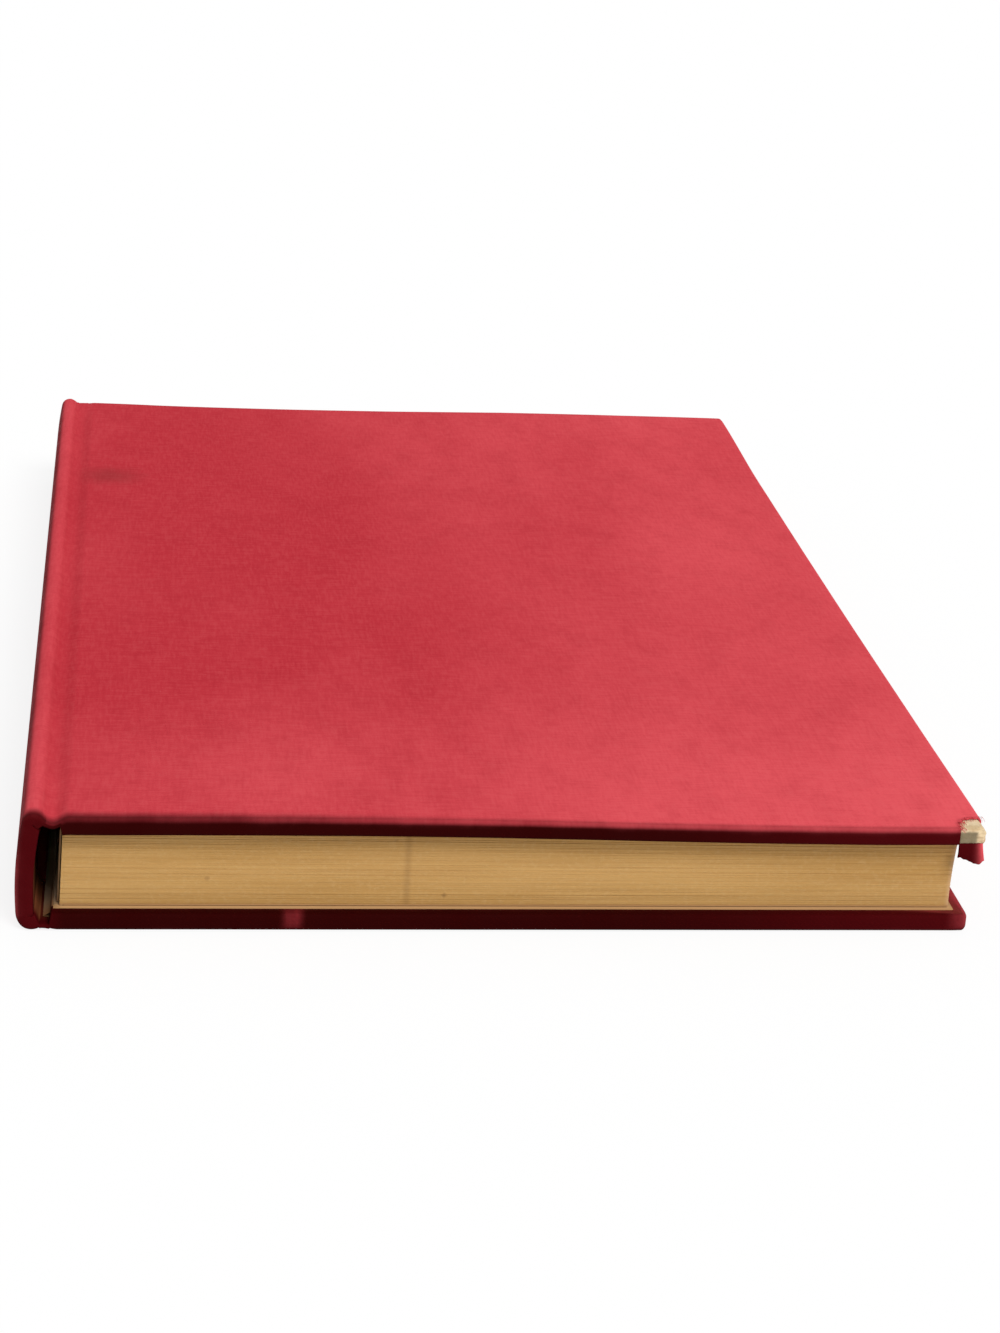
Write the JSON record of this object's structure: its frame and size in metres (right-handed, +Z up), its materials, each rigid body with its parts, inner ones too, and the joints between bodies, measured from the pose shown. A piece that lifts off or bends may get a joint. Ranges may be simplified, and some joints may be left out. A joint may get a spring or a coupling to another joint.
{
  "type": "hardback book",
  "caption": "Plain red cloth-covered hardback book with stiff boards that open, sewn leaves, endpapers and a flat hollow spine.",
  "frame": {"origin": "centre of the underside of the closed book, on the surface it lies on", "axes": "+X from the spine to the fore-edge, +Y from the tail to the head, +Z up"},
  "size_m": [0.1442, 0.223, 0.0183],
  "materials": {
    "cover_cloth": "matte",
    "board": "matte",
    "leaf_edges": "matte",
    "endpaper": "matte",
    "mull": "matte",
    "lining_paper": "matte"
  },
  "bodies": {
    "text_block": {"text_block": "leaf_edges", "front_flyleaf": "endpaper", "back_flyleaf": "endpaper", "spine_mull": "mull", "spine_lining": "lining_paper", "spine_card": "board", "spine_cloth": "cover_cloth"},
    "front_cover": {"front_board": "board", "front_cloth": "cover_cloth", "front_pastedown": "endpaper", "front_mull_flap": "mull"},
    "back_cover": {"back_board": "board", "back_cloth": "cover_cloth", "back_pastedown": "endpaper", "back_mull_flap": "mull"}
  },
  "joints": [
    {"name": "front_cover_hinge", "type": "hinge", "parent": "text_block", "child": "front_cover", "pos_m": [-0.06656, 0, 0.01821], "axis": [0, -1, 0], "range_deg": [0, 180]},
    {"name": "back_cover_hinge", "type": "hinge", "parent": "text_block", "child": "back_cover", "pos_m": [-0.06816, 0, -0.00015], "axis": [0, 1, 0], "range_deg": [0, 180]}
  ]
}
